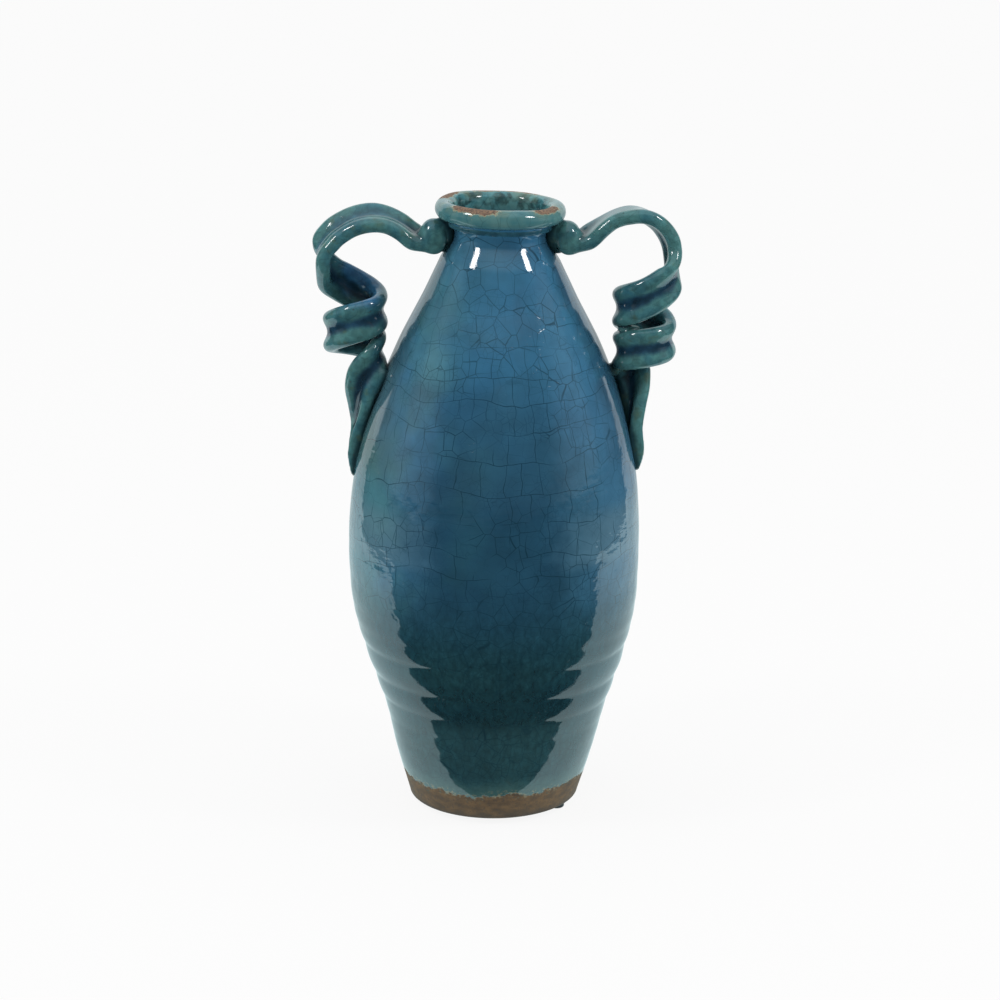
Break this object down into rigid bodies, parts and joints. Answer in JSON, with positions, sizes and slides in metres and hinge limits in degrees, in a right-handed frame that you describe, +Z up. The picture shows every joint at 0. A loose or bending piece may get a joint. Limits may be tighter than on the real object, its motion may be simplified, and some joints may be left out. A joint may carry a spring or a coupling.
{
  "type": "amphora",
  "caption": "Tall glazed stoneware amphora with a narrow neck, a rolled lip and coiled strap handles, standing on rubber pads; holds stems or stands as decoration.",
  "frame": {"origin": "on the standing surface, under the middle of the overall width", "axes": "+Z up, +X towards the right handle, +Y towards the back"},
  "size_m": [0.251, 0.2024, 0.4315],
  "materials": {
    "body_glaze": "glossy blue and teal crackle glaze over brown stoneware, bare at the foot",
    "lip_glaze": "glossy teal crackle glaze, worn through to brown clay on the crest",
    "handle_glaze": "glossy teal glaze, darker blue where it pools between the round edges",
    "pad_rubber": "smooth black rubber"
  },
  "bodies": {
    "root": {"vessel_body": "body_glaze", "lip_ring": "lip_glaze", "handle_right": "handle_glaze", "handle_left": "handle_glaze", "foot_pad_back": "pad_rubber", "foot_pad_front_left": "pad_rubber", "foot_pad_front_right": "pad_rubber"}
  },
  "joints": []
}
